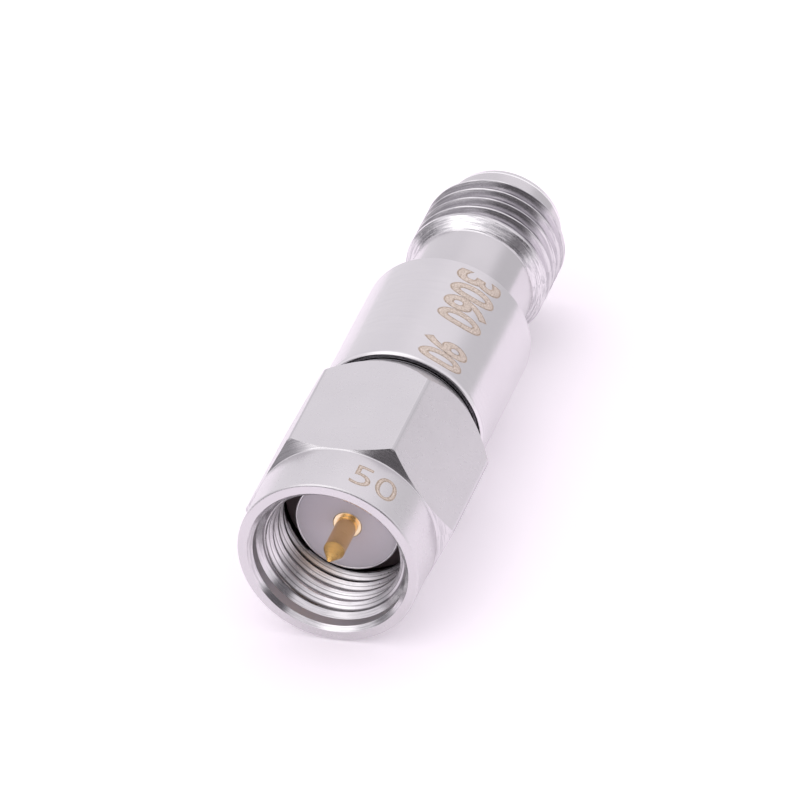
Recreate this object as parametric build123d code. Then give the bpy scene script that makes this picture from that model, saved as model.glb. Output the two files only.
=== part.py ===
from build123d import *
import os

# In-line coaxial attenuator, plug at one end and jack at the other.
# The main axis is X. The plug's reference plane is x = 0 and the jack is at the +X end.
# A flat of the coupling nut faces straight down. All sizes are in millimetres.

# Interface sizes that the standard fixes
thread_radius = 3.175
thread_depth = 0.335
line_bore_radius = 2.08
ferrule_wall = 0.21
conductor_radius = 0.635
pin_radius = 0.457
jack_bore_depth = 1.95

# Named clearances
ferrule_clearance = 0.01
socket_clearance = 0.003
running_clearance = 0.06
end_clearance = 0.10
ring_side_clearance = 0.06
finger_clearance = 0.06
card_clearance = 0.03

# Coupling nut
nut_wall = 0.825
nut_length = 9.9
nut_lead = 2.8
nose_length = 2.65
nose_relief = 0.03
rim_edge = 0.08
mouth_relief = 0.305
mouth_edge = 0.04
mouth_depth = 0.50
mouth_cone_length = 0.34
mouth_cone_fall = 0.19
thread_entry_length = 0.24
nut_thread_length = 2.37
bore_relief = 0.105
bar_corner_radius = 0.17
hex_front_angle = 35
hex_rear_angle = 31
rear_wall = 0.33

# Plug shell
ferrule_length = 1.85
ferrule_edge = 0.05
ferrule_lip = 0.03
ferrule_mouth_depth = 0.13
groove_centre = 4.0
groove_depth = 0.47
collar_inset = 0.13
collar_groove_count = 1
collar_groove_depth = 0.09
collar_groove_width = 0.06
shell_seat_length = 1.6

# Snap ring and face gasket
ring_width = 0.50
ring_wall = 0.70
ring_opening_angle = 36
gasket_thickness = 0.55

# Main sleeve
sleeve_radius = 3.75
sleeve_wall = 0.45
sleeve_gap = 0.33
sleeve_length = 7.4
sleeve_front_edge = 0.10
sleeve_front_edge_length = 0.25
sleeve_rear_edge = 0.06

# Jack shell
neck_wall = 0.68
neck_length = 3.8
barrel_lead_length = 0.40
barrel_length = 3.55
barrel_edge_length = 0.25
pilot_wall = 0.40
pilot_length = 1.35
pilot_edge = 0.12
pilot_edge_length = 0.27
jack_mouth_edge = 0.10

# Centre conductors
pin_step = 1.68
pin_tip_radius = 0.13
pin_tip_length = 0.95
waist_relief = 0.135
socket_depth = 2.9
socket_mouth_edge = 0.07
slot_width = 0.12
slot_depth = 2.3
slot_count = 4
socket_setback = 0.05

# Inner stack
bead_thickness = 1.0
washer_thickness = 0.35
washer_wall = 0.9
card_width = 4.4
card_thickness = 0.38
film_length = 1.5
film_width = 1.3
film_thickness = 0.03
tab_thickness = 0.10
tab_width = 0.50
tab_land = 0.85
tab_seat = 0.60
conductor_gap = 0.22
strip_thickness = 0.12
channel_width = 2.4
channel_height = 1.1

# Places along the axis that follow from the sizes above
nut_front = -nut_lead
nose_end = nut_front + nose_length
nut_rear = nut_front + nut_length
mouth_cone_end = nut_front + mouth_depth + mouth_cone_length
thread_start = mouth_cone_end + thread_entry_length
thread_end = thread_start + nut_thread_length
sleeve_start = nut_rear + sleeve_gap
sleeve_end = sleeve_start + sleeve_length
plug_shell_end = sleeve_start + shell_seat_length
jack_shell_start = sleeve_end - shell_seat_length
neck_end = sleeve_end + neck_length
barrel_end = neck_end + barrel_length
far_end = barrel_end + pilot_length
jack_plane = far_end - jack_bore_depth
carrier_end = jack_shell_start - washer_thickness
plug_bead_start = plug_shell_end - bead_thickness
jack_bead_end = jack_shell_start + bead_thickness
card_top = -tab_thickness / 2

# Radii that follow from the sizes above
nut_thread_radius = thread_radius - thread_depth
nut_flat_radius = thread_radius + nut_wall
nose_radius = nut_flat_radius - nose_relief
mouth_radius = thread_radius + mouth_relief
nut_bore_radius = thread_radius + bore_relief
nut_rear_radius = nut_bore_radius + rear_wall
shell_radius = nut_bore_radius - running_clearance
collar_radius = nut_rear_radius - collar_inset
groove_radius = shell_radius - groove_depth
ring_outer_radius = groove_radius + ring_wall
ring_groove_width = ring_width + 2 * ring_side_clearance
ferrule_radius = line_bore_radius + ferrule_wall
ferrule_mouth_radius = ferrule_radius - ferrule_edge - ferrule_lip
jack_bore_radius = ferrule_radius + ferrule_clearance
neck_radius = line_bore_radius + neck_wall
pilot_radius = jack_bore_radius + pilot_wall
sleeve_bore_radius = sleeve_radius - sleeve_wall
socket_radius = pin_radius + socket_clearance
waist_radius = conductor_radius - waist_relief


def turned(*corners):
    """Turn a closed outline of (place, radius) corners about the main axis."""
    with BuildPart() as blank:
        with BuildSketch(Plane.XZ):
            with BuildLine():
                Polyline(*corners, close=True)
            make_face()
        revolve(axis=Axis.X)
    return blank.part


def ring(start, end, inner, outer):
    """Plain ring between two places along the axis."""
    return turned((start, inner), (start, outer), (end, outer), (end, inner))


def rod(start, end, radius):
    return turned((start, 0), (start, radius), (end, radius), (end, 0))


def block(start, end, width, low, high):
    """Box centred on the axis across, from one height to another."""
    middle = Location(((start + end) / 2, 0, (low + high) / 2))
    return middle * Box(end - start, width, high - low)


def coupling_nut():
    """Hexagon with a turned nose, chamfered at both ends, bored and grooved inside."""
    corner = nut_flat_radius / cos_degrees(30)
    front_rise = (corner - nose_radius) * tan_degrees(hex_front_angle)
    rear_run = (corner - nut_rear_radius) / tan_degrees(hex_rear_angle)
    hexagon = RegularPolygon(nut_flat_radius, 6, major_radius=False)
    hexagon = fillet(hexagon.vertices(), bar_corner_radius)
    bar = extrude(Plane.YZ.offset(nose_end) * hexagon, nut_rear - nose_end)
    blank = turned(
        (nose_end, 0),
        (nose_end, nose_radius),
        (nose_end + front_rise, corner),
        (nut_rear - rear_run, corner),
        (nut_rear, nut_rear_radius),
        (nut_rear, 0),
    )
    nose = turned(
        (nut_front, 0),
        (nut_front, nose_radius - rim_edge),
        (nut_front + rim_edge, nose_radius),
        (nose_end, nose_radius),
        (nose_end, 0),
    )
    bore = turned(
        (nut_front, 0),
        (nut_front, mouth_radius + mouth_edge),
        (nut_front + mouth_edge, mouth_radius),
        (nut_front + mouth_depth, mouth_radius),
        (mouth_cone_end, mouth_radius - mouth_cone_fall),
        (thread_start, nut_thread_radius),
        (thread_end, nut_thread_radius),
        (thread_end, nut_bore_radius),
        (nut_rear, nut_bore_radius),
        (nut_rear, 0),
    )
    half_groove = ring_groove_width / 2
    ring_space = ring(
        groove_centre - half_groove,
        groove_centre + half_groove,
        nut_bore_radius / 2,
        ring_outer_radius + running_clearance,
    )
    return nose + (bar & blank) - bore - ring_space


def male_shell():
    """Turned shell: thin ferrule, body inside the nut, collar in the gap, seat in the sleeve."""
    collar_start = nut_rear + end_clearance
    collar_pitch = (sleeve_start - collar_start) / (collar_groove_count + 1)
    half_groove = ring_groove_width / 2
    shell = turned(
        (ferrule_mouth_depth, line_bore_radius),
        (0, ferrule_mouth_radius),
        (0, ferrule_radius - ferrule_edge),
        (ferrule_edge, ferrule_radius),
        (ferrule_length, ferrule_radius),
        (ferrule_length, shell_radius),
        (collar_start, shell_radius),
        (collar_start, collar_radius),
        (sleeve_start, collar_radius),
        (sleeve_start, sleeve_bore_radius),
        (plug_shell_end, sleeve_bore_radius),
        (plug_shell_end, line_bore_radius),
    )
    shell -= ring(
        groove_centre - half_groove,
        groove_centre + half_groove,
        groove_radius,
        nut_bore_radius,
    )
    for number in range(collar_groove_count):
        collar_middle = collar_start + (number + 1) * collar_pitch
        shell -= ring(
            collar_middle - collar_groove_width / 2,
            collar_middle + collar_groove_width / 2,
            collar_radius - collar_groove_depth,
            collar_radius + collar_groove_depth,
        )
    return shell


def retaining_ring():
    """Open snap ring seated in the shell's groove, standing out into the nut's groove."""
    whole = ring(
        groove_centre - ring_width / 2,
        groove_centre + ring_width / 2,
        ring_outer_radius - ring_wall,
        ring_outer_radius,
    )
    reach = 2 * ring_outer_radius
    half_width = reach * tan_degrees(ring_opening_angle / 2)
    wedge = Polygon((0, 0), (half_width, reach), (-half_width, reach), align=None)
    opening = extrude(Plane.YZ.offset(groove_centre) * wedge, ring_width, both=True)
    return whole - opening


def nut_gasket():
    """Flat face gasket round the ferrule, against the shell's shoulder."""
    return ring(
        ferrule_length - gasket_thickness,
        ferrule_length,
        ferrule_radius,
        shell_radius - running_clearance,
    )


def male_dielectric():
    """Insulator flush with the reference plane, flared to fill the ferrule's mouth."""
    return turned(
        (0, conductor_radius),
        (0, ferrule_mouth_radius),
        (ferrule_mouth_depth, line_bore_radius),
        (plug_bead_start, line_bore_radius),
        (plug_bead_start, conductor_radius),
    )


def male_pin():
    """Centre pin with a cone tip, a thicker body behind the reference plane and a tab slot."""
    pin_end = plug_shell_end - conductor_gap
    pin = turned(
        (-pin_step - pin_tip_length, 0),
        (-pin_step - pin_tip_length, pin_tip_radius),
        (-pin_step, pin_radius),
        (0, pin_radius),
        (0, conductor_radius),
        (plug_bead_start, conductor_radius),
        (plug_bead_start, waist_radius),
        (pin_end, waist_radius),
        (pin_end, 0),
    )
    slot = block(pin_end - tab_seat, pin_end, 2 * conductor_radius, card_top, -card_top)
    return pin - slot


def front_bead():
    return ring(plug_bead_start, plug_shell_end, waist_radius, line_bore_radius)


def main_sleeve():
    """Plain tube over the middle, with a broken edge at each end."""
    return turned(
        (sleeve_start, sleeve_bore_radius),
        (sleeve_start, sleeve_radius - sleeve_front_edge),
        (sleeve_start + sleeve_front_edge_length, sleeve_radius),
        (sleeve_end - sleeve_rear_edge, sleeve_radius),
        (sleeve_end, sleeve_radius - sleeve_rear_edge),
        (sleeve_end, sleeve_bore_radius),
    )


def female_shell():
    """Turned shell: seat in the sleeve, neck, barrel for the thread, pilot and jack bore."""
    return turned(
        (jack_shell_start, line_bore_radius),
        (jack_shell_start, sleeve_bore_radius),
        (sleeve_end, sleeve_bore_radius),
        (sleeve_end, neck_radius),
        (neck_end, neck_radius),
        (neck_end + barrel_lead_length, thread_radius),
        (barrel_end, thread_radius),
        (barrel_end + barrel_edge_length, pilot_radius),
        (far_end - pilot_edge_length, pilot_radius),
        (far_end, pilot_radius - pilot_edge),
        (far_end, jack_bore_radius + jack_mouth_edge),
        (far_end - jack_mouth_edge, jack_bore_radius),
        (jack_plane, jack_bore_radius),
        (jack_plane, line_bore_radius),
    )


def female_dielectric():
    """Insulator behind the jack's reference plane, opened out round the socket's fingers."""
    finger_end = jack_plane - socket_setback - slot_depth
    return turned(
        (jack_bead_end, conductor_radius),
        (jack_bead_end, line_bore_radius),
        (jack_plane, line_bore_radius),
        (jack_plane, conductor_radius + finger_clearance),
        (finger_end, conductor_radius + finger_clearance),
        (finger_end, conductor_radius),
    )


def female_contact():
    """Socket with spring fingers at the jack and a tab slot at the card."""
    contact_start = jack_shell_start + conductor_gap
    contact_end = jack_plane - socket_setback
    contact = turned(
        (contact_start, 0),
        (contact_start, waist_radius),
        (jack_bead_end, waist_radius),
        (jack_bead_end, conductor_radius),
        (contact_end, conductor_radius),
        (contact_end, socket_radius + socket_mouth_edge),
        (contact_end - socket_mouth_edge, socket_radius),
        (contact_end - socket_depth, socket_radius),
        (contact_end - socket_depth, 0),
    )
    for number in range(slot_count // 2):
        slot = block(contact_end - slot_depth, contact_end, slot_width, -thread_radius, thread_radius)
        contact -= Rot(X=45 + number * 360 / slot_count) * slot
    seat = block(contact_start, contact_start + tab_seat, 2 * conductor_radius, card_top, -card_top)
    return contact - seat


def rear_bead():
    return ring(jack_shell_start, jack_bead_end, waist_radius, line_bore_radius)


def stack_washer():
    """Spring washer that keeps the carrier pressed against the plug shell."""
    outer = sleeve_bore_radius - card_clearance
    return ring(carrier_end, jack_shell_start, outer - washer_wall, outer)


def carrier_half(upward):
    """One ground half of the carrier, with a channel over or under the card."""
    outer = sleeve_bore_radius - card_clearance
    body = rod(plug_shell_end, carrier_end, outer)
    if upward:
        keep = block(plug_shell_end, carrier_end, 2 * outer, card_top, outer)
        channel = block(plug_shell_end, carrier_end, channel_width, card_top, card_top + channel_height)
        return (body & keep) - channel
    keep = block(plug_shell_end, carrier_end, 2 * outer, -outer, card_top)
    seat_width = card_width + 2 * strip_thickness
    seat = block(plug_shell_end, carrier_end, seat_width, card_top - card_thickness, card_top)
    floor = card_top - card_thickness
    channel = block(plug_shell_end, carrier_end, channel_width, floor - channel_height, floor)
    return (body & keep) - seat - channel


def attenuator_card():
    return block(plug_shell_end, carrier_end, card_width, card_top - card_thickness, card_top)


def ground_strip(side):
    """Thin strip between the card's long edge and the carrier."""
    across = side * (card_width + strip_thickness) / 2
    strip = block(
        plug_shell_end, carrier_end, strip_thickness, card_top - card_thickness, card_top
    )
    return Pos(0, across, 0) * strip


def resistor_film():
    """Resistive film in the middle of the card's upper face."""
    middle = (plug_shell_end + carrier_end) / 2
    return block(
        middle - film_length / 2, middle + film_length / 2, film_width, card_top, card_top + film_thickness
    )


def input_tab():
    pin_end = plug_shell_end - conductor_gap
    return block(pin_end - tab_seat, plug_shell_end + tab_land, tab_width, card_top, -card_top)


def output_tab():
    contact_start = jack_shell_start + conductor_gap
    return block(carrier_end - tab_land, contact_start + tab_seat, tab_width, card_top, -card_top)


def cos_degrees(angle):
    return Vector(1, 0, 0).rotate(Axis.Z, angle).X


def tan_degrees(angle):
    turned_arm = Vector(1, 0, 0).rotate(Axis.Z, angle)
    return turned_arm.Y / turned_arm.X


pieces = {
    "coupling_nut": coupling_nut(),
    "male_shell": male_shell(),
    "retaining_ring": retaining_ring(),
    "nut_gasket": nut_gasket(),
    "male_dielectric": male_dielectric(),
    "male_pin": male_pin(),
    "front_bead": front_bead(),
    "main_sleeve": main_sleeve(),
    "female_shell": female_shell(),
    "female_dielectric": female_dielectric(),
    "female_contact": female_contact(),
    "rear_bead": rear_bead(),
    "stack_washer": stack_washer(),
    "carrier_upper": carrier_half(True),
    "carrier_lower": carrier_half(False),
    "attenuator_card": attenuator_card(),
    "ground_strip_left": ground_strip(1),
    "ground_strip_right": ground_strip(-1),
    "resistor_film": resistor_film(),
    "input_tab": input_tab(),
    "output_tab": output_tab(),
}

os.makedirs("parts", exist_ok=True)
for name, piece in pieces.items():
    export_step(piece, f"parts/{name}.step")
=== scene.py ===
from math import atan2, cos, hypot, pi, radians, sin, tan
import bmesh
import bpy
from mathutils import Matrix, Vector


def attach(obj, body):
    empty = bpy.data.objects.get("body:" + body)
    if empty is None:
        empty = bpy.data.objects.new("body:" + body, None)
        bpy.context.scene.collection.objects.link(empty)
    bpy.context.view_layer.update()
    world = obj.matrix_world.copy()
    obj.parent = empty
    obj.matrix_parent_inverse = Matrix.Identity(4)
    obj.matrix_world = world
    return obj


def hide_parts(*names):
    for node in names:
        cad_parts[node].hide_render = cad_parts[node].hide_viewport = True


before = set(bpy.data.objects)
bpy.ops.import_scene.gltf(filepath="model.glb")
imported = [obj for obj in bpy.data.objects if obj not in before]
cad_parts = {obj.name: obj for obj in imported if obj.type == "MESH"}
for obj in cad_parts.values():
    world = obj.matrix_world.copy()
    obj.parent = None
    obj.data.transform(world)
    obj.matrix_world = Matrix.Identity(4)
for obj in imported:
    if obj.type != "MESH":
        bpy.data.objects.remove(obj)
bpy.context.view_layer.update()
MM = 0.001

# Camera.
# A long lens looks down at the plug end from the front and the left, with the whole
# part running away to the upper right of the picture.
camera_place = Vector((-289.81, -109.46, 216.56)) * MM
camera_aim = Vector((9.02, 0.40, 0.20)) * MM
camera_roll = radians(-5.8)

lens = bpy.data.cameras.new("camera")
lens.sensor_width = 36
lens.lens = 405
lens.clip_start = 0.01
lens.clip_end = 20
camera = bpy.data.objects.new("camera", lens)
bpy.context.collection.objects.link(camera)
level_gaze = (camera_aim - camera_place).to_track_quat("-Z", "Y").to_matrix()
gaze = level_gaze @ Matrix.Rotation(camera_roll, 3, "Z")
camera.matrix_world = Matrix.Translation(camera_place) @ gaze.to_4x4()
bpy.context.scene.camera = camera
bpy.context.scene.view_settings.view_transform = "Standard"

# White table.
# The part lies on one flat of its nut on a seamless white sheet. The sheet is a little lilac,
# so it turns lilac where the part shades it and stays white everywhere else.
table_height = -4.0 * MM
table_reach = 0.060
table_colour = (0.87, 0.81, 0.87, 1)
table_glow = (1.0, 0.97, 1.0, 1)
table_glow_strength = 0.29


def new_finish(name):
    """A plain material; gives back it, its node tree and its Principled BSDF."""
    finish = bpy.data.materials.new(name)
    finish.use_nodes = True
    return finish, finish.node_tree, finish.node_tree.nodes["Principled BSDF"]


def math_node(tree, operation, *values):
    """A math node fed by sockets or plain numbers; gives back its output."""
    node = tree.nodes.new("ShaderNodeMath")
    node.operation = operation
    for socket, value in zip(node.inputs, values):
        if isinstance(value, (int, float)):
            socket.default_value = value
        else:
            tree.links.new(value, socket)
    return node.outputs[0]


def seen_rays(tree):
    """The light path, and a value that is 1 on rays seen straight, off metal or through glass."""
    ray = tree.nodes.new("ShaderNodeLightPath")
    mirrored = math_node(tree, "ADD", ray.outputs["Is Glossy Ray"], ray.outputs["Is Transmission Ray"])
    return ray, math_node(tree, "ADD", ray.outputs["Is Camera Ray"], mirrored)


table_finish, tree, shader = new_finish("white_table")
shader.inputs["Base Color"].default_value = table_colour
shader.inputs["Roughness"].default_value = 0.9
shader.inputs["Specular IOR Level"].default_value = 0.0
shader.inputs["Emission Color"].default_value = table_glow
ray, seen = seen_rays(tree)
table_glow_seen = math_node(tree, "MULTIPLY", seen, table_glow_strength)
tree.links.new(table_glow_seen, shader.inputs["Emission Strength"])

shape = bmesh.new()
bmesh.ops.create_grid(shape, x_segments=1, y_segments=1, size=table_reach)
bmesh.ops.translate(shape, verts=shape.verts, vec=(0, 0, table_height))
table_mesh = bpy.data.meshes.new("table")
shape.to_mesh(table_mesh)
shape.free()
table_mesh.materials.append(table_finish)
table = bpy.data.objects.new("table", table_mesh)
bpy.context.collection.objects.link(table)

# Studio light.
# A pale tent with a glowing roof and a lamp on the camera's left, darker on the camera's side
# and at the plug's end. Steel mirrors it all, and straight behind the part hangs a white sheet.
tent_level = 0.95
tent_colour = (1.0, 0.965, 1.015, 1)
tent_seen_colour = (1.02, 0.985, 1.035, 1)
sheet_behind_colour = (1.053, 1.053, 1.053, 1)
table_line_low = -0.14
table_line_high = -0.10
tent_zones = (
    # direction, cosine at its soft rim, cosine where it is full, colour
    ((0.08, 0.25, 0.965), 0.80, 0.96, (1.5, 1.47, 1.5, 1)),
    ((0.77, -0.15, 0.60), 0.90, 0.99, (1.10, 1.06, 1.11, 1)),
    ((0.80, -0.60, 0.08), 0.90, 0.985, (0.81, 0.785, 0.82, 1)),
    ((-0.733, 0.342, 0.588), 0.90, 0.97, (1.85, 1.81, 1.85, 1)),
    ((-0.45, 0.885, 0.07), 0.935, 0.975, (0.25, 0.24, 0.26, 1)),
    ((-0.58, -0.74, 0.34), 0.94, 0.98, (0.16, 0.15, 0.165, 1)),
    ((-0.83, 0.52, -0.20), 0.80, 0.85, (0.50, 0.48, 0.51, 1)),
    ((-0.93, 0.20, -0.05), 0.775, 0.82, (0.50, 0.48, 0.51, 1)),
    ((-0.933, -0.25, 0.259), 0.88, 0.97, (0.14, 0.13, 0.14, 1)),
)


def colour_mix(tree, share, one, other):
    """Mixes two colours, sockets or plain values, by a share of the other; gives back its output."""
    mix = tree.nodes.new("ShaderNodeMix")
    mix.data_type = "RGBA"
    tree.links.new(share, mix.inputs["Factor"])
    for socket, colour in ((mix.inputs["A"], one), (mix.inputs["B"], other)):
        if isinstance(colour, tuple):
            socket.default_value = colour
        else:
            tree.links.new(colour, socket)
    return mix.outputs["Result"]


def mapped(tree, value, low, high, to_low=0.0, to_high=1.0, smooth=False):
    """Maps the range from low to high on to another range; gives back its output."""
    node = tree.nodes.new("ShaderNodeMapRange")
    if smooth:
        node.interpolation_type = "SMOOTHSTEP"
    tree.links.new(value, node.inputs["Value"])
    node.inputs["From Min"].default_value = low
    node.inputs["From Max"].default_value = high
    node.inputs["To Min"].default_value = to_low
    node.inputs["To Max"].default_value = to_high
    return node.outputs["Result"]


world = bpy.data.worlds.new("studio")
bpy.context.scene.world = world
world.use_nodes = True
studio = world.node_tree
way = studio.nodes.new("ShaderNodeTexCoord").outputs["Generated"]
ray, seen = seen_rays(studio)
plain_tent = colour_mix(studio, seen, tent_colour, tent_seen_colour)
zoned_tent = plain_tent
for direction, rim, full, colour in tent_zones:
    towards = studio.nodes.new("ShaderNodeVectorMath")
    towards.operation = "DOT_PRODUCT"
    towards.inputs[1].default_value = Vector(direction).normalized()
    studio.links.new(way, towards.inputs[0])
    share = mapped(studio, towards.outputs["Value"], rim, full, smooth=True)
    zoned_tent = colour_mix(studio, share, zoned_tent, colour)
height = studio.nodes.new("ShaderNodeSeparateXYZ")
studio.links.new(way, height.inputs[0])
above_table = mapped(studio, height.outputs["Z"], table_line_low, table_line_high)
whole_tent = colour_mix(studio, above_table, plain_tent, zoned_tent)
shown = colour_mix(studio, ray.outputs["Is Camera Ray"], whole_tent, sheet_behind_colour)
backdrop = studio.nodes["Background"]
studio.links.new(shown, backdrop.inputs["Color"])
backdrop.inputs["Strength"].default_value = tent_level

# Coupling nut.
# Turned from hexagonal stainless bar: a plain round nose, chamfered corners, a counterbore
# and a quarter-inch inside thread. It turns freely on the plug's shell.
nut_front = -2.80
nose_end = -0.15
nut_rear = 7.10
nose_radius = 3.97
flat_distance = 4.0
bar_radius = 4.75
front_chamfer = radians(35)
rear_chamfer = radians(31)
nut_rear_radius = 3.61
counterbore_radius = 3.34
counterbore_end = -2.14
entry_shoulder = (-1.90, 3.14)
mouth_edge = 0.19
inner_thread_crest = 2.84
inner_thread_root = 3.12
inner_crest_place = -2.14
entry_end = (-1.72, inner_thread_crest)
inner_thread_end = 0.65
nut_bore_radius = 3.28
corner_break = 0.15
nose_end_round = 0.13
viewer_side = Vector((0, -0.452, 0.892))
viewer_right = Vector((0, -0.892, -0.452))
thread_pitch = 25.4 / 36


def everything(shape):
    """All the points, edges and faces of a shape, as the operators take them."""
    return shape.verts[:] + shape.edges[:] + shape.faces[:]


def lathe(corners, steps=216):
    """A closed outline of (place, radius) corners in millimetres, spun about the main axis."""
    shape = bmesh.new()
    line = [shape.verts.new((place * MM, 0, radius * MM)) for place, radius in corners]
    for one, other in zip(line, line[1:]):
        shape.edges.new((one, other))
    if corners[0][1] > 0:
        shape.edges.new((line[-1], line[0]))
    bmesh.ops.spin(
        shape, geom=shape.verts[:] + shape.edges[:], cent=(0, 0, 0), axis=(1, 0, 0),
        dvec=(0, 0, 0), angle=2 * pi, steps=steps, use_merge=True, use_duplicate=False,
    )
    bmesh.ops.remove_doubles(shape, verts=shape.verts[:], dist=1e-7)
    bmesh.ops.recalc_face_normals(shape, faces=shape.faces[:])
    return shape


def rounded_corner(face_place, radius, length, depth, turns=6):
    """Points of a quarter round that leads from a front face out on to a cylinder."""
    corner = []
    for number in range(turns + 1):
        swing = number / turns * pi / 2
        corner.append((face_place + length * (1 - cos(swing)), radius - depth * (1 - sin(swing))))
    return corner


def break_edges(shape, width, sharper_than=20, segments=2, where=None):
    """Rounds the sharp edges of a turned or cut shape by a width in millimetres."""
    sharp = [
        edge for edge in shape.edges
        if edge.is_manifold and edge.calc_face_angle() > radians(sharper_than)
        and (where is None or where(edge))
    ]
    bmesh.ops.bevel(
        shape, geom=sharp, offset=width * MM, offset_type="OFFSET", segments=segments,
        profile=0.5, affect="EDGES", material=-1, clamp_overlap=True,
    )


def thread(
    crest, root, half_crest, start, end, crest_place, side, limit, buried,
    flank_angle=30, uncut=None, rings=(), steps=180, edge_round=0.035, shortest_flank=0.12,
):
    """A rounded thread round the main axis, trimmed and closed at a hidden radius.

    The tool leaves the blank at the uncut radius, and rings are places where the blank has
    a corner.
    """
    shape = bmesh.new()
    flank = abs(crest - root) * tan(radians(flank_angle))
    half_pitch = thread_pitch / 2
    first = crest_place - (int((crest_place - start) / thread_pitch) + 2) * thread_pitch
    profile = (
        (-half_pitch, root), (-half_crest - flank, root), (-half_crest, crest),
        (half_crest, crest), (half_crest + flank, root), (half_pitch, root),
    )
    line = [
        shape.verts.new(Vector(((first + place) * MM, 0, 0)) + side * radius * MM)
        for place, radius in profile
    ]
    for one, other in zip(line, line[1:]):
        shape.edges.new((one, other))
    bmesh.ops.bevel(
        shape, geom=line[1:5], offset=edge_round * MM, offset_type="OFFSET", segments=3,
        profile=0.5, affect="VERTICES", material=-1, clamp_overlap=True,
    )
    flanks = [edge for edge in shape.edges if edge.calc_length() > shortest_flank * MM]
    bmesh.ops.subdivide_edges(shape, edges=flanks, cuts=3)
    bmesh.ops.spin(
        shape, geom=shape.verts[:] + shape.edges[:], cent=(0, 0, 0), axis=(1, 0, 0),
        dvec=(thread_pitch * MM / steps, 0, 0), angle=2 * pi, steps=steps, use_duplicate=False,
    )
    one_turn = everything(shape)
    for number in range(1, int((end - first) / thread_pitch) + 2):
        copied = bmesh.ops.duplicate(shape, geom=one_turn)
        moved = [item for item in copied["geom"] if isinstance(item, bmesh.types.BMVert)]
        bmesh.ops.translate(shape, verts=moved, vec=(number * thread_pitch * MM, 0, 0))
    bmesh.ops.remove_doubles(shape, verts=shape.verts[:], dist=2e-7)
    bmesh.ops.recalc_face_normals(shape, faces=shape.faces[:])
    for place, outward in ((start, -1), (end, 1)):
        bmesh.ops.bisect_plane(
            shape, geom=everything(shape), dist=1e-8,
            plane_co=(place * MM, 0, 0), plane_no=(outward, 0, 0), clear_outer=True,
        )
    for place in rings:
        bmesh.ops.bisect_plane(
            shape, geom=everything(shape), dist=1e-8,
            plane_co=(place * MM, 0, 0), plane_no=(1, 0, 0),
        )
    for point in shape.verts:
        place = point.co.x / MM
        radius = hypot(point.co.y, point.co.z) / MM
        cut = max(radius, uncut(place)) if uncut else radius
        cut = min(cut, limit(place)) if crest > root else max(cut, limit(place))
        point.co.y *= cut / radius
        point.co.z *= cut / radius
    rims = [edge for edge in shape.edges if edge.is_boundary]
    for place in (start, end):
        rim = [edge for edge in rims if abs(edge.verts[0].co.x / MM - place) < 0.001]
        walled = bmesh.ops.extrude_edge_only(shape, edges=rim)
        for point in (item for item in walled["geom"] if isinstance(item, bmesh.types.BMVert)):
            scale = buried * MM / hypot(point.co.y, point.co.z)
            point.co.y *= scale
            point.co.z *= scale
    bmesh.ops.bridge_loops(shape, edges=[edge for edge in shape.edges if edge.is_boundary])
    bmesh.ops.recalc_face_normals(shape, faces=shape.faces[:])
    return shape


def join_shapes(*shapes):
    """Puts several closed shapes into one mesh."""
    whole = bmesh.new()
    for shape in shapes:
        carried = bpy.data.meshes.new("carried")
        shape.to_mesh(carried)
        shape.free()
        whole.from_mesh(carried)
        bpy.data.meshes.remove(carried)
    return whole


def finished_piece(name, shape, body, node, slot, *finishes):
    """The piece that stands for a node: smooth, its larger faces ruling the shading, on its body."""
    shape.normal_update()
    areas = {face: face.calc_area() / MM / MM for face in shape.faces}
    normals = [
        sum((face.normal * areas[face] for face in point.link_faces), Vector()).normalized()
        for point in shape.verts
    ]
    for face in shape.faces:
        face.smooth = True
    mesh = bpy.data.meshes.new(name)
    shape.to_mesh(mesh)
    shape.free()
    mesh.normals_split_custom_set_from_vertices(normals)
    for finish in finishes:
        mesh.materials.append(finish)
    piece = bpy.data.objects.new(name, mesh)
    bpy.context.collection.objects.link(piece)
    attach(piece, body)
    if node:
        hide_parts(node)
    return piece


def node_group(name, inputs, outputs):
    """An empty shader group with named sockets; gives back the group and its two ends."""
    group = bpy.data.node_groups.new(name, "ShaderNodeTree")
    for label, kind, value in inputs:
        socket = group.interface.new_socket(name=label, in_out="INPUT", socket_type=kind)
        socket.default_value = value
    for label, kind in outputs:
        group.interface.new_socket(name=label, in_out="OUTPUT", socket_type=kind)
    return group, group.nodes.new("NodeGroupInput"), group.nodes.new("NodeGroupOutput")


def from_axis(tree):
    """A point's own place as x, y and z, and its distance from the main axis."""
    spot = tree.nodes.new("ShaderNodeTexCoord")
    parts = tree.nodes.new("ShaderNodeSeparateXYZ")
    tree.links.new(spot.outputs["Object"], parts.inputs[0])
    across_squared = math_node(tree, "MULTIPLY", parts.outputs["Y"], parts.outputs["Y"])
    up_squared = math_node(tree, "MULTIPLY", parts.outputs["Z"], parts.outputs["Z"])
    return parts, math_node(tree, "SQRT", math_node(tree, "ADD", across_squared, up_squared))


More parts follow.
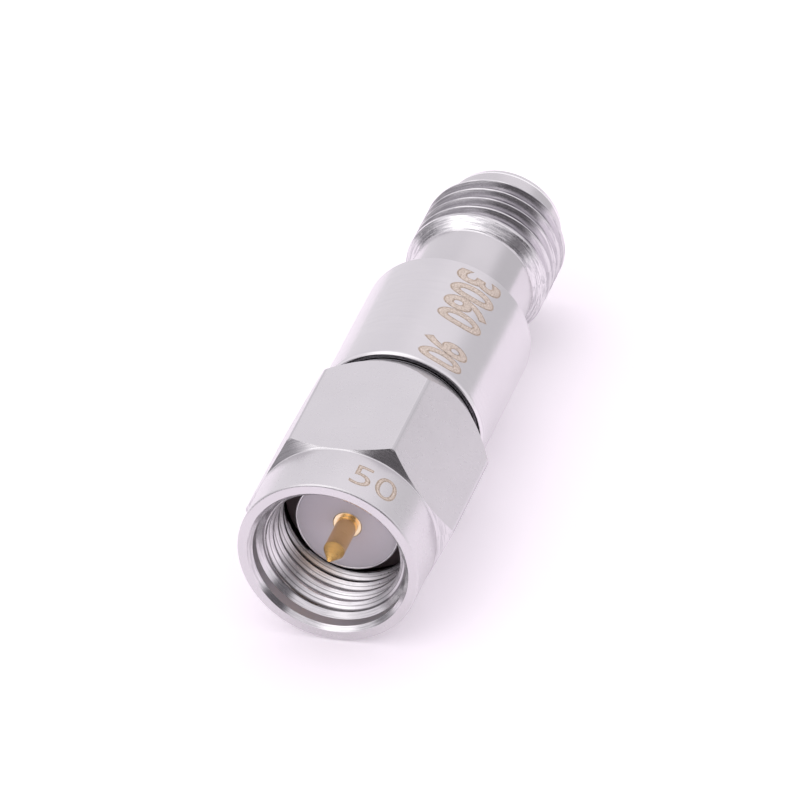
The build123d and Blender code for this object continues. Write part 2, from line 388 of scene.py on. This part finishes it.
# Turning lines: fine rings round the main axis, on cylinders and on faces alike.
turning, turning_in, turning_out = node_group(
    "turning_lines",
    [
        ("Lines per mm", "NodeSocketFloat", 14.0),
        ("Waviness", "NodeSocketFloat", 0.15),
        ("Lean", "NodeSocketFloat", 0.0),
    ],
    [("Lines", "NodeSocketFloat")],
)
parts, radius_here = from_axis(turning)
angle_here = math_node(turning, "ARCTAN2", parts.outputs["Z"], parts.outputs["Y"])
lean_here = math_node(turning, "MULTIPLY", angle_here, turning_in.outputs["Lean"])
lean_length = math_node(turning, "MULTIPLY", lean_here, MM)
along_here = math_node(turning, "ADD", parts.outputs["X"], lean_length)
per_metre = math_node(turning, "MULTIPLY", turning_in.outputs["Lines per mm"], 1000)
line_place = turning.nodes.new("ShaderNodeCombineXYZ")
turning.links.new(math_node(turning, "MULTIPLY", along_here, per_metre), line_place.inputs["X"])
turning.links.new(math_node(turning, "MULTIPLY", radius_here, per_metre), line_place.inputs["Y"])
wave_here = math_node(turning, "MULTIPLY", angle_here, turning_in.outputs["Waviness"])
turning.links.new(wave_here, line_place.inputs["Z"])
line_noise = turning.nodes.new("ShaderNodeTexNoise")
line_noise.inputs["Scale"].default_value = 1.0
line_noise.inputs["Detail"].default_value = 3.0
line_noise.inputs["Roughness"].default_value = 0.6
turning.links.new(line_place.outputs[0], line_noise.inputs["Vector"])
turning.links.new(line_noise.outputs["Fac"], turning_out.inputs["Lines"])

# Distance from the main axis, for painted shade at the bottom of a thread or a groove.
depth, depth_in, depth_out = node_group(
    "depth_by_radius",
    [("Clean radius mm", "NodeSocketFloat", 3.0), ("Dark radius mm", "NodeSocketFloat", 2.8)],
    [("Depth", "NodeSocketFloat")],
)
parts, radius_here = from_axis(depth)
reached = depth.nodes.new("ShaderNodeMapRange")
reached.interpolation_type = "SMOOTHSTEP"
depth.links.new(math_node(depth, "MULTIPLY", radius_here, 1000), reached.inputs["Value"])
depth.links.new(depth_in.outputs["Clean radius mm"], reached.inputs["From Min"])
depth.links.new(depth_in.outputs["Dark radius mm"], reached.inputs["From Max"])
depth.links.new(reached.outputs["Result"], depth_out.inputs["Depth"])

# Satin grain: the faint, uneven bloom that tumbling and handling leave on stainless steel.
grain, grain_in, grain_out = node_group(
    "satin_grain",
    [("Grains per mm", "NodeSocketFloat", 9.0), ("Clouds per mm", "NodeSocketFloat", 0.35)],
    [("Grain", "NodeSocketFloat"), ("Clouds", "NodeSocketFloat")],
)
spot = grain.nodes.new("ShaderNodeTexCoord")
for socket_name, label, detail in (("Grains per mm", "Grain", 2.0), ("Clouds per mm", "Clouds", 4.0)):
    noise = grain.nodes.new("ShaderNodeTexNoise")
    noise.inputs["Detail"].default_value = detail
    grain.links.new(spot.outputs["Object"], noise.inputs["Vector"])
    per_metre = math_node(grain, "MULTIPLY", grain_in.outputs[socket_name], 1000)
    grain.links.new(per_metre, noise.inputs["Scale"])
    grain.links.new(noise.outputs["Fac"], grain_out.inputs[label])


def placed(tree, group, *values):
    """Places a shader group in a material, with values for its sockets."""
    node = tree.nodes.new("ShaderNodeGroup")
    node.node_tree = group
    for label, value in values:
        node.inputs[label].default_value = value
    return node


def relief(tree, pattern, rise, under=None):
    """A bump that rises by so many millimetres, over one under it; gives back its normal."""
    bump = tree.nodes.new("ShaderNodeBump")
    bump.inputs["Distance"].default_value = rise * MM
    tree.links.new(pattern, bump.inputs["Height"])
    if under is not None:
        tree.links.new(under, bump.inputs["Normal"])
    return bump.outputs["Normal"]


def steel(name, colour, roughness, spread, lines, line_depth, grain_depth, lean=0.0):
    """Bare stainless steel: turning lines, satin grain and slow clouds in its tone and roughness.

    Lines are counted per millimetre, and the depths of line and grain are in millimetres.
    """
    finish, tree, shader = new_finish(name)
    shader.inputs["Metallic"].default_value = 1.0
    ringed = placed(tree, turning, ("Lines per mm", lines), ("Waviness", 0.4), ("Lean", lean))
    grained = placed(tree, grain)
    darker = (*(part * 0.93 for part in colour), 1)
    lighter = (*(min(1, part * 1.05) for part in colour), 1)
    tone = colour_mix(tree, grained.outputs["Clouds"], darker, lighter)
    tree.links.new(tone, shader.inputs["Base Color"])
    half_grain = math_node(tree, "MULTIPLY", grained.outputs["Grain"], 0.5)
    wear = math_node(tree, "MULTIPLY_ADD", ringed.outputs["Lines"], 0.5, half_grain)
    dullness = mapped(tree, wear, 0.3, 0.7, roughness - spread, roughness + spread)
    tree.links.new(dullness, shader.inputs["Roughness"])
    rings = relief(tree, ringed.outputs["Lines"], line_depth)
    pits = relief(tree, grained.outputs["Grain"], grain_depth, under=rings)
    tree.links.new(pits, shader.inputs["Normal"])
    return finish


def lay_over(tree, share, dark):
    """Mixes a share of a dark tone into what feeds the base colour."""
    base = tree.nodes["Principled BSDF"].inputs["Base Color"]
    clean = base.links[0].from_socket
    tree.links.new(colour_mix(tree, share, clean, (*dark, 1)), base)


def paint_shade_by_radius(finish, dark, clean_radius, dark_radius):
    """Paints shade into a finish between two radii, darker towards the bottom of a groove."""
    tree = finish.node_tree
    deep = placed(tree, depth, ("Clean radius mm", clean_radius), ("Dark radius mm", dark_radius))
    lay_over(tree, deep.outputs["Depth"], dark)


def streak(finish, dark, lines, waviness):
    """Lays short dark tool streaks round the main axis into a finish."""
    tree = finish.node_tree
    ringed = placed(tree, turning, ("Lines per mm", lines), ("Waviness", waviness))
    lay_over(tree, mapped(tree, ringed.outputs["Lines"], 0.54, 0.40), dark)


nut_satin = steel(
    "nut_satin_steel", (0.68, 0.665, 0.68), roughness=0.29, spread=0.03, lines=10,
    line_depth=0.0006, grain_depth=0.0004,
)
nut_bright = steel(
    "nut_bright_steel", (0.71, 0.695, 0.71), roughness=0.17, spread=0.05, lines=22,
    line_depth=0.0010, grain_depth=0.0003,
)
streak(nut_bright, (0.55, 0.54, 0.555), lines=20, waviness=3.0)
nut_bore = steel(
    "nut_bore_steel", (0.66, 0.645, 0.66), roughness=0.42, spread=0.05, lines=22,
    line_depth=0.0010, grain_depth=0.0003,
)
# Painted shade: the rounded hex corners take a darker tone than the flats, for the darker line along
# each corner.
nut_corner = steel(
    "nut_corner_painted_shade", (0.57, 0.56, 0.575), roughness=0.36, spread=0.05, lines=22,
    line_depth=0.0010, grain_depth=0.0006,
)

# Painted light: the inside thread takes a lighter tone than the other steel, standing in for light that
# reaches into the mouth.
inner_thread_steel = steel(
    "inner_thread_steel", (0.86, 0.845, 0.86), roughness=0.32, spread=0.08, lines=30,
    line_depth=0.0016, grain_depth=0.0003,
)
streak(inner_thread_steel, (0.66, 0.64, 0.66), lines=16, waviness=2.0)
# Painted shade: three darker bands between crest and root, darkest towards the root.
for dark, clean_rise, dark_rise in (
    ((0.38, 0.365, 0.38), 0.105, 0.12),
    ((0.80, 0.785, 0.80), 0.135, 0.15),
    ((0.20, 0.19, 0.20), 0.21, 0.25),
):
    paint_shade_by_radius(
        inner_thread_steel, dark, clean_radius=inner_thread_crest + clean_rise,
        dark_radius=inner_thread_crest + dark_rise,
    )

bar_rise = (bar_radius - nose_radius) * tan(front_chamfer)
bar_run = (bar_radius - nut_rear_radius) / tan(rear_chamfer)
nut_outside = lathe([
    (nut_front, counterbore_radius + mouth_edge),
    *rounded_corner(nut_front, nose_radius, 0.10, 0.10),
    (nose_end, nose_radius),
    (nose_end + bar_rise, bar_radius),
    (nut_rear - bar_run, bar_radius),
    (nut_rear, nut_rear_radius),
    (nut_rear, nut_bore_radius),
    (inner_thread_end, nut_bore_radius),
    (inner_thread_end, counterbore_radius + 0.05),
    (entry_shoulder[0], counterbore_radius + 0.05),
    (entry_shoulder[0], entry_shoulder[1]),
    (counterbore_end, counterbore_radius),
    (nut_front + mouth_edge, counterbore_radius),
])
for face in nut_outside.faces:
    middle = face.calc_center_median() / MM
    radius = hypot(middle.y, middle.z)
    in_mouth = radius < nose_radius - 0.3 and middle.x > nut_front + 0.02
    chamfer_face = middle.x > nose_end and radius > nose_radius and face.normal.x < -0.3
    if in_mouth or chamfer_face:
        face.material_index = 1
    if abs(radius - counterbore_radius) < 0.01 and middle.x < counterbore_end:
        face.material_index = 2
for number in range(6):
    outward = Vector((0, sin(number * pi / 3), cos(number * pi / 3)))
    bmesh.ops.bisect_plane(
        nut_outside, geom=everything(nut_outside), dist=1e-8,
        plane_co=outward * flat_distance * MM, plane_no=outward, clear_outer=True,
    )
    bmesh.ops.edgeloop_fill(nut_outside, edges=[edge for edge in nut_outside.edges if edge.is_boundary])
bmesh.ops.remove_doubles(nut_outside, verts=nut_outside.verts[:], dist=0.006 * MM)
bmesh.ops.recalc_face_normals(nut_outside, faces=nut_outside.faces[:])


def on_hex_corner(edge):
    """True for the six long edges between neighbouring flats."""
    along = (edge.verts[0].co - edge.verts[1].co).normalized()
    return abs(along.x) > 0.99 and edge.verts[0].co.yz.length > (flat_distance + 0.3) * MM


def on_nose_end(edge):
    """True for the round corner where the nose meets the chamfer."""
    return all(
        abs(point.co.x / MM - nose_end) < 0.003 and abs(point.co.yz.length / MM - nose_radius) < 0.01
        for point in edge.verts
    )


break_edges(nut_outside, corner_break, sharper_than=40, segments=4, where=on_hex_corner)
nut_outside.normal_update()
# The corner faces take the darker corner finish: painted shade.
for face in nut_outside.faces:
    if face.material_index == 0 and abs(face.normal.x) < 0.1:
        turn = atan2(face.normal.y, face.normal.z) / (pi / 3)
        out = face.calc_center_median().yz.length / MM
        if abs(turn - round(turn)) > 0.3 and out > flat_distance + 0.3:
            face.material_index = 4
break_edges(nut_outside, nose_end_round, segments=5, where=on_nose_end)
break_edges(nut_outside, 0.02, sharper_than=24)


def inner_entry(place):
    """Smallest radius at a place in the mouth of the inside thread."""
    if place >= entry_end[0]:
        return 0.0
    slope = (entry_shoulder[1] - entry_end[1]) / (entry_end[0] - entry_shoulder[0])
    return entry_end[1] + slope * (entry_end[0] - place)


nut_thread = thread(
    crest=inner_thread_crest, root=inner_thread_root, half_crest=0.055, start=entry_shoulder[0],
    end=inner_thread_end, crest_place=inner_crest_place, side=-viewer_side, limit=inner_entry,
    buried=counterbore_radius + 0.03, flank_angle=45,
)
for face in nut_thread.faces:
    face.material_index = 3
finished_piece(
    "nut_body", join_shapes(nut_outside, nut_thread), "nut", "coupling_nut", "nut_steel",
    nut_satin, nut_bright, nut_bore, inner_thread_steel, nut_corner,
)

# Plug shell.
# One stainless turning: a thin ferrule round the insulator, a body inside the nut, a grooved
# collar in the gap behind the nut and a seat pressed into the sleeve.
ferrule_radius = 2.29
line_bore_radius = 2.08
ferrule_mouth_radius = 2.21
ferrule_mouth_depth = 0.13
ferrule_length = 1.85
shell_radius = 3.22
collar_start = 7.20
collar_end = 7.43
collar_radius = 3.48
sleeve_bore_radius = 3.30
shell_end = 9.03
groove_start = 3.69
groove_end = 4.31
groove_radius = 2.75
collar_lands = 2
land_pitch = (collar_end - collar_start) / collar_lands
land_edge = 0.012
land_width = 0.045
land_slope = 0.01
land_depth = 0.09

shell_steel = steel(
    "shell_steel", (0.71, 0.695, 0.71), roughness=0.22, spread=0.05, lines=16,
    line_depth=0.0010, grain_depth=0.0004,
)
# Painted shade: the collar in the gap behind the nut is steel toned dark, darkest in its grooves, for
# the shade in that gap.
collar_painted_shade = steel(
    "collar_painted_shade", (0.26, 0.25, 0.27), roughness=0.20, spread=0.05, lines=30,
    line_depth=0.0010, grain_depth=0.0004,
)
paint_shade_by_radius(
    collar_painted_shade, (0.02, 0.018, 0.02),
    clean_radius=collar_radius - 0.005, dark_radius=collar_radius - 0.025,
)

collar_outline = []
for number in range(collar_lands):
    land_start = collar_start + number * land_pitch
    collar_outline += [
        (land_start + land_edge, collar_radius),
        (land_start + land_width, collar_radius),
        (land_start + land_width + land_slope, collar_radius - land_depth),
        (land_start + land_pitch, collar_radius - land_depth),
    ]
plug_shell = lathe([
    (ferrule_mouth_depth, line_bore_radius),
    (0, ferrule_mouth_radius),
    (0, ferrule_radius - 0.03),
    (0.05, ferrule_radius),
    (ferrule_length, ferrule_radius),
    (ferrule_length, shell_radius),
    (groove_start, shell_radius),
    (groove_start, groove_radius),
    (groove_end, groove_radius),
    (groove_end, shell_radius),
    (collar_start, shell_radius),
    *collar_outline,
    (collar_end, sleeve_bore_radius),
    (shell_end, sleeve_bore_radius),
    (shell_end, line_bore_radius),
])
# The collar's faces take the dark collar finish: painted shade.
for face in plug_shell.faces:
    middle = face.calc_center_median() / MM
    if collar_start - 0.01 < middle.x < collar_end and middle.yz.length > sleeve_bore_radius:
        face.material_index = 1
break_edges(plug_shell, 0.012)
finished_piece(
    "plug_shell", plug_shell, "attenuator_body", "male_shell", "shell_steel",
    shell_steel, collar_painted_shade,
)

# Main sleeve.
# A length of brushed stainless tube over the middle, with a bright chamfer at the nut's end.
# It carries plain laser-marked numbers.
sleeve_start = 7.43
sleeve_end = 14.83
sleeve_radius = 3.75
sleeve_edge_length = 0.25
sleeve_edge_depth = 0.11
sleeve_rear_edge = 0.06
sleeve_brushed = steel(
    "sleeve_brushed_steel", (0.69, 0.675, 0.69), roughness=0.21, spread=0.05, lines=12,
    line_depth=0.0018, grain_depth=0.0003, lean=0.5,
)
streak(sleeve_brushed, (0.67, 0.655, 0.672), lines=12, waviness=1.5)
sleeve_edge = steel(
    "sleeve_edge_steel", (0.76, 0.745, 0.76), roughness=0.16, spread=0.04, lines=24,
    line_depth=0.0006, grain_depth=0.0002,
)
sleeve_shape = lathe([
    (sleeve_start, sleeve_bore_radius),
    *rounded_corner(sleeve_start, sleeve_radius, sleeve_edge_length, sleeve_edge_depth),
    (sleeve_end - sleeve_rear_edge, sleeve_radius),
    (sleeve_end, sleeve_radius - sleeve_rear_edge),
    (sleeve_end, sleeve_bore_radius),
])
for face in sleeve_shape.faces:
    middle = face.calc_center_median() / MM
    if middle.x < sleeve_start + sleeve_edge_length - 0.01 and middle.yz.length < sleeve_radius - 0.01:
        face.material_index = 1
break_edges(sleeve_shape, 0.02, sharper_than=40)
finished_piece(
    "sleeve_tube", sleeve_shape, "attenuator_body", "main_sleeve", "sleeve_steel",
    sleeve_brushed, sleeve_edge,
)

# Laser marks.
# Plain numbers burnt into the steel: each stroke a dusty, paler tan inside a darker rim.
def burnt_steel(name, dark, light):
    """Steel burnt by the laser: dusty, matt, its tan changing from grain to grain."""
    finish, tree, shader = new_finish(name)
    dust = placed(tree, grain, ("Grains per mm", 16))
    share = mapped(tree, dust.outputs["Grain"], 0.35, 0.65)
    tone = colour_mix(tree, share, (*dark, 1), (*light, 1))
    tree.links.new(tone, shader.inputs["Base Color"])
    shader.inputs["Metallic"].default_value = 0.3
    shader.inputs["Roughness"].default_value = 0.5
    tree.links.new(relief(tree, dust.outputs["Grain"], 0.010), shader.inputs["Normal"])
    return finish


rim_width = 0.028
rim_thickness = 0.004
fill_thickness = 0.008
mark_sunk = 0.003
bold_stroke = 0.038
mark_turn = radians(-12.5)
mark_rim = burnt_steel("mark_rim", (0.34, 0.265, 0.205), (0.60, 0.49, 0.40))
mark_fill = burnt_steel("mark_fill", (0.50, 0.415, 0.345), (0.80, 0.70, 0.62))


def laser_mark(name, words, body, slot, place, turn, height, width, radius, along_axis, stroke):
    """Numbers wrapped on a cylinder, each as a dark outline with a thinner paler fill on it.

    Their own width runs along the axis, or round it.
    """
    corners = None
    layers = (
        ("outline", stroke, rim_thickness, mark_rim),
        ("fill", stroke - rim_width, fill_thickness, mark_fill),
    )
    for layer, boldness, thickness, finish in layers:
        letters = bpy.data.curves.new(name, "FONT")
        letters.body = words
        letters.offset = boldness
        letters.resolution_u = 6
        flat = bpy.data.objects.new(name, letters)
        bpy.context.collection.objects.link(flat)
        bpy.context.view_layer.update()
        drawn = flat.evaluated_get(bpy.context.evaluated_depsgraph_get())
        mesh = bpy.data.meshes.new_from_object(drawn)
        bpy.data.objects.remove(flat)
        shape = bmesh.new()
        shape.from_mesh(mesh)
        bpy.data.meshes.remove(mesh)
        bmesh.ops.remove_doubles(shape, verts=shape.verts[:], dist=1e-5)
        if corners is None:
            corners = (
                Vector((min(v.co.x for v in shape.verts), min(v.co.y for v in shape.verts), 0)),
                Vector((max(v.co.x for v in shape.verts), max(v.co.y for v in shape.verts), 0)),
            )
        low, high = corners
        size = (width / (high.x - low.x), height / (high.y - low.y), 1)
        bmesh.ops.translate(shape, verts=shape.verts[:], vec=-low)
        bmesh.ops.scale(shape, verts=shape.verts[:], vec=size)
        cuts = 16
        for number in range(1, cuts):
            reach = number / cuts * (height if along_axis else width)
            bmesh.ops.bisect_plane(
                shape, geom=everything(shape), dist=1e-6,
                plane_co=(0, reach, 0) if along_axis else (reach, 0, 0),
                plane_no=(0, 1, 0) if along_axis else (1, 0, 0),
            )
        raised = bmesh.ops.extrude_face_region(shape, geom=shape.faces[:])
        tops = [item for item in raised["geom"] if isinstance(item, bmesh.types.BMVert)]
        bmesh.ops.translate(shape, verts=tops, vec=(0, 0, thickness))
        for point in shape.verts:
            across = point.co.x if along_axis else point.co.y
            round_it = point.co.y if along_axis else point.co.x
            angle = turn + round_it / radius
            arm = viewer_side * cos(angle) + viewer_right * sin(angle)
            along = place - across if along_axis else place + across
            point.co = Vector((along, 0, 0)) * MM + arm * (radius - mark_sunk + point.co.z) * MM
        bmesh.ops.recalc_face_normals(shape, faces=shape.faces[:])
        finished_piece(f"{name}_{layer}", shape, body, None, slot, finish)


laser_mark(
    "sleeve_mark_long", "3060", "attenuator_body", "sleeve_steel", place=14.45, turn=mark_turn,
    height=2.22, width=3.80, radius=sleeve_radius, along_axis=True, stroke=bold_stroke,
)
laser_mark(
    "sleeve_mark_short", "90", "attenuator_body", "sleeve_steel", place=9.50, turn=mark_turn,
    height=2.18, width=1.75, radius=sleeve_radius, along_axis=True, stroke=bold_stroke,
)
laser_mark(
    "nose_mark", "50", "nut", "nut_steel", place=-2.10, turn=radians(-12),
    height=1.30, width=2.10, radius=nose_radius, along_axis=False, stroke=0.0,
)

# Jack shell.
# One stainless turning: a seat in the sleeve, a narrow neck, a roughly turned cone, five turns
# of quarter-inch outside thread and a plain pilot round the jack's bore.
jack_seat_start = 13.23
neck_start = sleeve_end - 0.01
neck_radius = 2.76
neck_end = 18.63
neck_edge_start = neck_end - 0.19
barrel_start = 19.03
barrel_end = 22.18
pilot_start = 22.43
pilot_radius = 2.70
far_end = 23.53
pilot_edge_start = far_end - 0.36
pilot_edge_end = far_end - 0.24
jack_bore_radius = 2.30
jack_plane = 21.58
thread_radius = 3.175
thread_root = 2.742
groove_run_in = (19.20, 19.44)
jack_crest_place = 19.85

neck_steel = steel(
    "neck_steel", (0.63, 0.615, 0.63), roughness=0.18, spread=0.03, lines=14,
    line_depth=0.0007, grain_depth=0.0003, lean=0.2,
)
thread_bright = steel(
    "thread_bright_steel", (0.74, 0.725, 0.74), roughness=0.19, spread=0.07, lines=20,
    line_depth=0.0018, grain_depth=0.0005,
)
# Painted shade: a grey band down each flank and a near-black line towards each root.
paint_shade_by_radius(
    thread_bright, (0.56, 0.54, 0.57), clean_radius=thread_root + 0.37, dark_radius=thread_root + 0.25,
)
paint_shade_by_radius(
    thread_bright, (0.07, 0.06, 0.08), clean_radius=thread_root + 0.18, dark_radius=thread_root + 0.08,
)
streak(thread_bright, (0.50, 0.485, 0.51), lines=14, waviness=2.5)
rough_turned = steel(
    "rough_turned_steel", (0.78, 0.765, 0.78), roughness=0.22, spread=0.10, lines=16,
    line_depth=0.0070, grain_depth=0.0003,
)
streak(rough_turned, (0.53, 0.52, 0.54), lines=15, waviness=4.0)
# Partly painted highlight: the neck's end and the pilot's edge are burnished, and their near-white tone
# is a painted highlight for the bright lines there.
burnished_highlight = steel(
    "burnished_and_painted_highlight", (0.96, 0.95, 0.96), roughness=0.16, spread=0.03, lines=20,
    line_depth=0.0004, grain_depth=0.0002,
)
jack_core = lathe([
    (jack_seat_start, line_bore_radius),
    (jack_seat_start, sleeve_bore_radius),
    (neck_start, sleeve_bore_radius),
    (neck_start, neck_radius),
    (neck_edge_start, neck_radius),
    (neck_end - 0.15, neck_radius),
    (neck_end - 0.02, neck_radius - 0.03),
    (neck_end + 0.02, thread_root - 0.03),
    (pilot_start - 0.02, thread_root - 0.03),
    (pilot_start, pilot_radius),
    (pilot_edge_start, pilot_radius),
    (far_end - 0.30, pilot_radius),
    (pilot_edge_end, pilot_radius - 0.03),
    (far_end, pilot_radius - 0.10),
    (far_end, jack_bore_radius + 0.10),
    (far_end - 0.10, jack_bore_radius),
    (jack_plane, jack_bore_radius),
    (jack_plane, line_bore_radius),
])
# The neck's end and the pilot's edge take the burnished finish, with its painted highlight.
for face in jack_core.faces:
    middle = face.calc_center_median() / MM
    on_neck_edge = neck_edge_start < middle.x < neck_end
    on_pilot_edge = pilot_edge_start < middle.x < pilot_edge_end
    if (on_neck_edge or on_pilot_edge) and middle.yz.length > neck_radius - 0.10:
        face.material_index = 3
break_edges(jack_core, 0.015)


def barrel_limit(place):
    """Largest radius of the threaded barrel at a place: a cone at each end."""
    low = neck_radius - 0.05
    front = low + (place - neck_end) * (thread_radius - low) / (barrel_start - neck_end)
    rear_slope = (thread_radius - pilot_radius) / (pilot_start - barrel_end)
    return min(front, pilot_radius + (pilot_start - place) * rear_slope, thread_radius)


def barrel_uncut(place):
    """Radius that the thread tool leaves before its groove has run in."""
    run_in = (place - groove_run_in[0]) / (groove_run_in[1] - groove_run_in[0])
    return thread_radius - min(1, max(0, run_in)) * (thread_radius - thread_root)


jack_thread = thread(
    crest=thread_radius, root=thread_root, half_crest=0.03, start=neck_end, end=pilot_start,
    crest_place=jack_crest_place, side=viewer_side, limit=barrel_limit, buried=thread_root - 0.12,
    uncut=barrel_uncut, rings=(neck_end + 0.03, barrel_start, *groove_run_in, barrel_end),
)
for face in jack_thread.faces:
    face.material_index = 2 if face.calc_center_median().x / MM < barrel_start else 1
finished_piece(
    "jack_shell", join_shapes(jack_core, jack_thread), "attenuator_body", "female_shell",
    "shell_steel", neck_steel, thread_bright, rough_turned, burnished_highlight,
)

# Insulators.
# Waxy white fluoropolymer, faced off flush with each end of the line, with a faint knife mark.
waxy_white, tree, shader = new_finish("waxy_white")
knife = placed(tree, turning, ("Lines per mm", 8))
specks = placed(tree, grain, ("Grains per mm", 3))
tone = colour_mix(tree, specks.outputs["Clouds"], (0.88, 0.84, 0.90, 1), (0.95, 0.91, 0.97, 1))
tree.links.new(tone, shader.inputs["Base Color"])
tree.links.new(relief(tree, knife.outputs["Lines"], 0.002), shader.inputs["Normal"])
shader.inputs["Roughness"].default_value = 0.45
shader.inputs["Subsurface Weight"].default_value = 0.15
shader.inputs["Subsurface Radius"].default_value = (0.0006, 0.0005, 0.0005)
shader.inputs["Subsurface Scale"].default_value = 1.0

conductor_radius = 0.635
plug_face = 0.01
plug_line_end = 8.03
jack_line_start = 14.23
finger_room_start = 19.23
finger_room = 0.06
plug_insulator = lathe([
    (plug_face, conductor_radius),
    (plug_face, ferrule_mouth_radius - 0.01),
    (ferrule_mouth_depth, line_bore_radius),
    (plug_line_end, line_bore_radius),
    (plug_line_end, conductor_radius),
])
break_edges(plug_insulator, 0.012)
finished_piece(
    "plug_insulator", plug_insulator, "attenuator_body", "male_dielectric", "white_insulator",
    waxy_white,
)
jack_insulator = lathe([
    (jack_line_start, conductor_radius),
    (jack_line_start, line_bore_radius),
    (jack_plane, line_bore_radius),
    (jack_plane, conductor_radius + finger_room),
    (finger_room_start, conductor_radius + finger_room),
    (finger_room_start, conductor_radius),
])
break_edges(jack_insulator, 0.03)
finished_piece(
    "jack_insulator", jack_insulator, "attenuator_body", "female_dielectric", "white_insulator",
    waxy_white,
)

# Centre pin.
# Beryllium copper, gold plated: a cone tip on a slim pin, and the wider body that shows as
# a bright ring in the insulator's face.
gold, tree, shader = new_finish("gold_plate")
shader.inputs["Metallic"].default_value = 1.0
rings = placed(tree, turning, ("Lines per mm", 26))
clouds = placed(tree, grain, ("Clouds per mm", 2.0))
tone = colour_mix(tree, clouds.outputs["Clouds"], (0.92, 0.59, 0.27, 1), (1.0, 0.70, 0.36, 1))
tree.links.new(tone, shader.inputs["Base Color"])
dullness = mapped(tree, rings.outputs["Lines"], 0.0, 1.0, 0.14, 0.34)
tree.links.new(dullness, shader.inputs["Roughness"])
tree.links.new(relief(tree, rings.outputs["Lines"], 0.0006), shader.inputs["Normal"])


def retoned(finish, name, dark, light):
    """A copy of a finish with a new name and new tones."""
    other = finish.copy()
    other.name = name
    tone = next(node for node in other.node_tree.nodes if node.type == "MIX")
    tone.inputs["A"].default_value = (*dark, 1)
    tone.inputs["B"].default_value = (*light, 1)
    return other


pin_radius = 0.457
pin_tip = -2.63
pin_cone_end = -1.88
pin_tail_radius = 0.50
pin_tail_end = 8.81
pin_shape = lathe([
    (pin_tip, 0),
    (pin_tip + 0.015, 0.050),
    (pin_tip + 0.04, 0.088),
    (pin_cone_end - 0.03, pin_radius - 0.014),
    (pin_cone_end, pin_radius),
    (pin_cone_end + 0.05, pin_radius),
    (-0.04, pin_radius),
    (0, pin_radius),
    (0, conductor_radius - 0.03),
    (0.03, conductor_radius),
    (plug_line_end, conductor_radius),
    (plug_line_end, pin_tail_radius),
    (pin_tail_end, pin_tail_radius),
    (pin_tail_end, 0),
], steps=96)
for face in pin_shape.faces:
    middle = face.calc_center_median() / MM
    if middle.x < pin_cone_end + 0.01:
        face.material_index = 1
    if -0.05 < middle.x < 0.04 and middle.yz.length > pin_radius + 0.003:
        face.material_index = 2
break_edges(pin_shape, 0.012, sharper_than=40)
worn_gold = retoned(gold, "worn_gold_tip", (1.0, 0.57, 0.17), (1.0, 0.70, 0.27))
worn_gold.node_tree.nodes["Principled BSDF"].inputs["Metallic"].default_value = 0.75
worn_rings = next(node for node in worn_gold.node_tree.nodes if node.type == "BUMP")
worn_rings.inputs["Distance"].default_value = 0.0001 * MM
worn_dullness = next(node for node in worn_gold.node_tree.nodes if node.type == "MAP_RANGE")
worn_dullness.inputs["To Min"].default_value = 0.20
worn_dullness.inputs["To Max"].default_value = 0.32
# Painted highlight: the ring in the insulator's face takes a paler gold for the pale sheen it shows.
pale_gold_highlight = retoned(gold, "gold_rim_painted_highlight", (1.0, 0.78, 0.48), (1.0, 0.86, 0.60))
finished_piece(
    "centre_pin", pin_shape, "attenuator_body", "male_pin", "gold_plate",
    gold, worn_gold, pale_gold_highlight,
)

# Gasket.
# A flat ring of black rubber in the bottom of the nut, round the ferrule.
black_rubber, tree, shader = new_finish("black_rubber")
bloom = placed(tree, grain)
tone = colour_mix(tree, bloom.outputs["Clouds"], (0.19, 0.145, 0.155, 1), (0.29, 0.23, 0.24, 1))
tree.links.new(tone, shader.inputs["Base Color"])
tree.links.new(relief(tree, bloom.outputs["Grain"], 0.004), shader.inputs["Normal"])
shader.inputs["Roughness"].default_value = 0.65
gasket_front = 1.30
gasket_radius = 3.16
gasket_shape = lathe([
    (gasket_front, ferrule_radius),
    (gasket_front, gasket_radius),
    (ferrule_length, gasket_radius),
    (ferrule_length, ferrule_radius),
])
break_edges(gasket_shape, 0.08, segments=3)
finished_piece(
    "face_gasket", gasket_shape, "attenuator_body", "nut_gasket", "black_rubber", black_rubber,
)

# Jack socket and the inner stack.
# These keep the shapes of their nodes and only take their finishes: gold on the socket, tabs,
# strips and carrier, bronze on the springs, fired ceramic and dark film on the card.
bronze = retoned(gold, "spring_bronze", (0.55, 0.33, 0.16), (0.66, 0.43, 0.22))
ceramic = retoned(waxy_white, "fired_ceramic", (0.80, 0.79, 0.74), (0.88, 0.87, 0.83))
film = retoned(black_rubber, "resistor_film", (0.05, 0.04, 0.035), (0.10, 0.08, 0.07))

node_finishes = {
    "female_contact": gold,
    "input_tab": gold,
    "output_tab": gold,
    "ground_strip_left": gold,
    "ground_strip_right": gold,
    "carrier_upper": gold,
    "carrier_lower": gold,
    "retaining_ring": bronze,
    "stack_washer": bronze,
    "attenuator_card": ceramic,
    "resistor_film": film,
    "front_bead": waxy_white,
    "rear_bead": waxy_white,
}
for node_name, finish in node_finishes.items():
    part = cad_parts[node_name]
    for slot_holder in part.material_slots:
        slot_holder.material = finish
